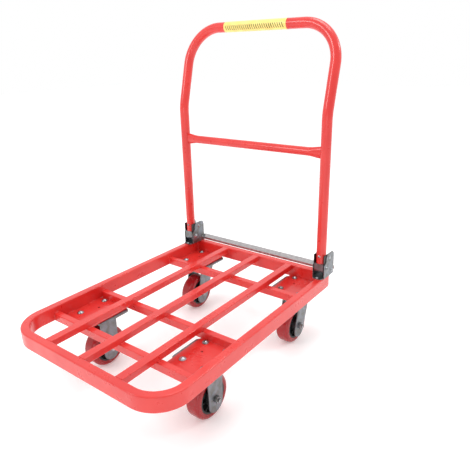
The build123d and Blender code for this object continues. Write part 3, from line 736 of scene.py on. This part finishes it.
class CART_OT_handle(Operator):
    """Bends the handle from one tube and sets the cross tube between its uprights"""

    bl_idname = "cart.handle"
    bl_label = "Handle"

    def execute(self, context):
        low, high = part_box("handle_tube")
        radius, lean = sizes().tube_radius, sizes().handle_lean
        half = high.x - radius
        upright_y = low.y + radius
        rise = (high.y - low.y - 2 * radius) / math.tan(lean)
        bend_z = high.z - radius - rise
        tangent = sizes().handle_bend * math.tan(lean / 2)
        corner = sizes().handle_corner
        leaning = rise / math.cos(lean) - tangent - corner
        upright = bend_z - tangent - low.z
        across_axis = Vector((0, math.cos(lean), -math.sin(lean)))
        mesh = bmesh.new()
        start = Vector((-half, upright_y, low.z))
        loop = ring_loop(mesh, start, Z, radius, 40)
        quarter = (corner, across_axis, math.pi / 2, 30)
        back, down = (sizes().handle_bend, -X, lean, 10), (sizes().handle_bend, X, lean, 10)
        steps = [upright, back, leaning, quarter, 2 * (half - corner), quarter, leaning, down, upright]
        last = carry(mesh, list(loop), start, Z, steps)
        bmesh.ops.edgeloop_fill(mesh, edges=last)
        bmesh.ops.holes_fill(mesh, edges=[e for e in mesh.edges if e.is_boundary], sides=0)
        piece(mesh, "handle_bent_tube", "handle", "red_paint", ["handle_tube"])
        self.brace(half, upright_y)
        refined("handle_foot_rivets")
        return {"FINISHED"}

    def brace(self, half, upright_y):
        """The cross tube: round in the middle, pressed flat and tall where it is welded."""
        low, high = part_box("handle_brace")
        middle_z = (low.z + high.z) / 2
        tall, round_radius = (high.z - low.z) / 2, (high.y - low.y) / 2
        thin = 0.6 * round_radius
        end = half - 0.45 * sizes().tube_radius
        taper = sizes().brace_taper
        mesh = bmesh.new()
        stations = 14
        inner = half - sizes().tube_radius - taper
        places = [-end + (end - inner) * i / stations for i in range(stations + 1)]
        places += [-x for x in reversed(places)]
        loop = ring_loop(mesh, Vector((places[0], upright_y, middle_z)), X, round_radius, 36)
        rings = [verts_in({v for e in loop for v in e.verts})]
        for before, now in zip(places, places[1:]):
            grown = bmesh.ops.extrude_edge_only(mesh, edges=loop)["geom"]
            verts = verts_in(grown)
            bmesh.ops.translate(mesh, verts=verts, vec=(now - before, 0, 0))
            ends = set(verts)
            loop = [e for e in edges_in(grown) if e.verts[0] in ends and e.verts[1] in ends]
            rings.append(verts)
        for verts, x in zip(rings, places):
            share = min(1, max(0, (abs(x) - inner) / (end - inner)))
            share = share * share * (3 - 2 * share)
            scale = (1, 1 + share * (thin / round_radius - 1), 1 + share * (tall / round_radius - 1))
            bmesh.ops.scale(mesh, verts=verts, vec=scale,
                            space=Matrix.Translation((-x, -upright_y, -middle_z)))
        bmesh.ops.holes_fill(mesh, edges=[e for e in mesh.edges if e.is_boundary], sides=0)
        piece(mesh, "handle_cross_tube", "handle", "red_paint", ["handle_brace"])


class CART_OT_label(Operator):
    """Wraps the plain yellow label round the push bar, with its seam at the back"""

    bl_idname = "cart.label"
    bl_label = "Label"

    def execute(self, context):
        low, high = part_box("handle_label")
        centre = (low + high) / 2
        film = 0.25 * MM
        radius = (high.z - low.z) / 2 - film
        mesh = bmesh.new()
        seam = math.radians(14)
        back = Vector((0, math.cos(seam), math.sin(seam))) * radius
        verts = [mesh.verts.new(Vector((x, centre.y, centre.z)) + back) for x in (low.x, high.x)]
        edge = mesh.edges.new(verts)
        bmesh.ops.spin(mesh, geom=[edge], cent=centre, axis=X, angle=2 * math.pi - 1.5 * seam, steps=60)
        bmesh.ops.solidify(mesh, geom=mesh.faces[:], thickness=film)
        piece(mesh, "handle_label_film", "handle", "label_film", ["handle_label"])
        return {"FINISHED"}


class CART_OT_fasteners(Operator):
    """Turns the screw heads, washers, nuts, pins and balls, with chamfers"""

    bl_idname = "cart.fasteners"
    bl_label = "Fasteners"

    def execute(self, context):
        self.nuts("caster_nuts", Z)
        for node in ("front_axle_nuts", "rear_axle_nut_left", "rear_axle_nut_right"):
            self.nuts(node, X)
        for node in ("caster_bolts", "caster_washers", "bracket_screws", "hinge_pins", "stop_pins",
                     "pawl_pins", "kingpins", "front_axle_bolts", "rear_axle_bolt_left",
                     "rear_axle_bolt_right"):
            refined(node, 0.35 * MM)
        self.balls("swivel_balls")
        for end in ("front", "rear"):
            for side in SIDES:
                refined("wheel_bearings_%s_%s" % (end, side), 0.3 * MM)
        return {"FINISHED"}

    def balls(self, node):
        """A true sphere for each ball."""
        mesh = bmesh.new()
        for low, high in islands(node):
            bmesh.ops.create_uvsphere(mesh, u_segments=16, v_segments=10, radius=(high.z - low.z) / 2,
                                      matrix=Matrix.Translation((low + high) / 2))
        piece(mesh, node + "_turned", body_of(node), slot_of[node], [node])

    def nuts(self, node, axis):
        """Hexagon nuts with chamfered corners."""
        mesh = bmesh.new()
        for low, high in islands(node):
            centre = (low + high) / 2
            size = high - low
            height = size.dot(axis)
            flats = min(size.x, size.y) if axis == Z else min(size.y, size.z)
            turn = axis.to_track_quat("Z", "Y").to_matrix().to_4x4()
            if abs(size.y - flats) < MERGE:
                turn = turn @ Matrix.Rotation(math.pi / 6, 4, "Z")
            across_corners = flats / 2 / math.cos(math.pi / 6)
            made = bmesh.ops.create_cone(mesh, cap_ends=True, segments=6, radius1=across_corners,
                                         radius2=across_corners, depth=height,
                                         matrix=Matrix.Translation(centre) @ turn)
            rims = {e for v in made["verts"] for e in v.link_edges
                    if abs((e.verts[0].co - e.verts[1].co).normalized().dot(axis)) < 0.1}
            bmesh.ops.bevel(mesh, geom=list(rims), offset=0.09 * flats, segments=2, profile=0.5,
                            affect="EDGES", material=-1)
        piece(mesh, node + "_turned", body_of(node), slot_of[node], [node])


class CART_OT_springs(Operator):
    """Winds the return springs as real coils"""

    bl_idname = "cart.springs"
    bl_label = "Return springs"

    def execute(self, context):
        mesh = bmesh.new()
        for low, high in islands("release_springs"):
            centre = (low + high) / 2
            wire = 0.7 * MM
            coil = (high.z - low.z) / 2 - wire
            turns = 4
            length = high.x - low.x - 2 * wire
            start = Vector((low.x + wire, centre.y, centre.z + coil))
            loop = ring_loop(mesh, start, Y, wire, 10)
            steps = 24 * turns
            bmesh.ops.spin(mesh, geom=loop, cent=Vector((start.x, centre.y, centre.z)), axis=X,
                           dvec=(length / steps, 0, 0), angle=2 * math.pi * turns, steps=steps)
        bmesh.ops.holes_fill(mesh, edges=[e for e in mesh.edges if e.is_boundary], sides=0)
        piece(mesh, "release_spring_coils", "deck", "spring_steel", ["release_springs"])
        return {"FINISHED"}


class CART_OT_stage(Operator):
    """Sets the floor, the lights and the camera"""

    bl_idname = "cart.stage"
    bl_label = "Stage"

    def execute(self, context):
        scene = context.scene
        mesh = bmesh.new()
        bmesh.ops.create_grid(mesh, x_segments=1, y_segments=1, size=12)
        data = bpy.data.meshes.new("floor")
        mesh.to_mesh(data)
        mesh.free()
        floor = bpy.data.objects.new("floor", data)
        scene.collection.objects.link(floor)
        # a backlit acrylic sweep: a little light of its own keeps it white out to the edge
        made, tree, mm = material("pale_acrylic_floor")
        pale = linear(colours().floor)
        dim = [channel * 0.97 for channel in pale[:3]] + [1.0]
        cloud = add(tree, "TexNoise", {"Vector": mm, "Scale": 1 / 400})
        colour = add(tree, "Mix", {0: cloud, 6: pale, 7: dim}, data_type="RGBA")
        shader = add(tree, "BsdfPrincipled", {"Base Color": colour, "Roughness": 0.8,
                                              "Emission Color": (1, 1, 1, 1), "Emission Strength": 0.18})
        add(tree, "OutputMaterial", {"Surface": shader})
        data.materials.append(made)
        self.lights(scene)
        self.camera(scene)
        scene.view_settings.view_transform = "Standard"
        return {"FINISHED"}

    def lights(self, scene):
        """Four soft boxes in a pale room."""
        world = bpy.data.worlds.new("studio")
        world.use_nodes = True
        scene.world = world
        tree = world.node_tree
        sky = tree.nodes["Background"]
        sky.inputs["Color"].default_value = (1, 1, 1, 1)
        # a white backdrop ahead and overhead, a little dimmer on the right, so that the sides read apart
        towards = add(tree, "TexCoord").outputs["Generated"]
        ahead = add(tree, "VectorMath", {0: towards, 1: (-0.64, 0.60, 0.48)}, operation="DOT_PRODUCT")
        strength = add(tree, "MapRange", {"Value": ahead, "From Min": -0.45, "From Max": 0.25,
                                          "To Min": 0.8, "To Max": 1.0})
        tree.links.new(strength.outputs["Result"], sky.inputs["Strength"])
        places = {
            "key": ((-1.6, -2.9, 2.6), 1.2, 33),
            "top": ((0.2, 0.6, 3.2), 1.4, 25),
            "fill": ((1.3, -2.6, 0.7), 0.5, 4),
            "rim": ((2.0, 1.9, 2.4), 0.6, 14),
        }
        for name, (place, size, power) in places.items():
            light = bpy.data.lights.new(name, "AREA")
            light.size = size
            light.energy = power
            made = bpy.data.objects.new(name, light)
            made.location = place
            made.rotation_euler = (Vector((0, 0, 0.3)) - Vector(place)).to_track_quat("-Z", "Y").to_euler()
            scene.collection.objects.link(made)

    def camera(self, scene):
        """A camera set by its direction, roll, aim and distance."""
        view = scene.cart_view
        az, el, roll = view.azimuth, view.elevation, view.roll
        back = Vector((math.sin(az) * math.cos(el), -math.cos(az) * math.cos(el), math.sin(el)))
        right = Vector((math.cos(az), math.sin(az), 0))
        up = back.cross(right)
        across = math.cos(roll) * right + math.sin(roll) * up
        upward = back.cross(across)
        turn = Matrix((across, upward, back)).transposed().to_4x4()
        lens = bpy.data.cameras.new("camera")
        lens.sensor_width = 36
        lens.lens = view.lens
        made = bpy.data.objects.new("camera", lens)
        made.matrix_world = Matrix.Translation(Vector(view.aim) + back * view.distance) @ turn
        scene.collection.objects.link(made)
        scene.camera = made


PIECES = (CART_OT_finishes, CART_OT_rail, CART_OT_bars, CART_OT_welds, CART_OT_pressings, CART_OT_wheels,
          CART_OT_handle, CART_OT_label, CART_OT_fasteners, CART_OT_springs, CART_OT_stage)


class CART_PT_panel(Panel):
    """Lists the cart's sizes, colours and pieces"""

    bl_idname = "CART_PT_panel"
    bl_label = "Platform cart"
    bl_space_type = "VIEW_3D"
    bl_region_type = "UI"
    bl_category = "Cart"

    def draw(self, context):
        for group in (context.scene.cart_sizes, context.scene.cart_colours, context.scene.cart_view):
            box = self.layout.box()
            for name in group.__annotations__:
                box.prop(group, name)
        for made in PIECES:
            self.layout.operator(made.bl_idname)


GROUPS = {"cart_sizes": CartSizes, "cart_colours": CartColours, "cart_view": CartView}


def register():
    for made in (*GROUPS.values(), *PIECES, CART_PT_panel):
        bpy.utils.register_class(made)
    for name, group in GROUPS.items():
        setattr(bpy.types.Scene, name, PointerProperty(type=group))


def unregister():
    for name in GROUPS:
        delattr(bpy.types.Scene, name)
    for made in reversed((*GROUPS.values(), *PIECES, CART_PT_panel)):
        bpy.utils.unregister_class(made)


def main():
    register()
    for made in PIECES:
        group, name = made.bl_idname.split(".")
        getattr(getattr(bpy.ops, group), name)()


if __name__ == "__main__":
    main()
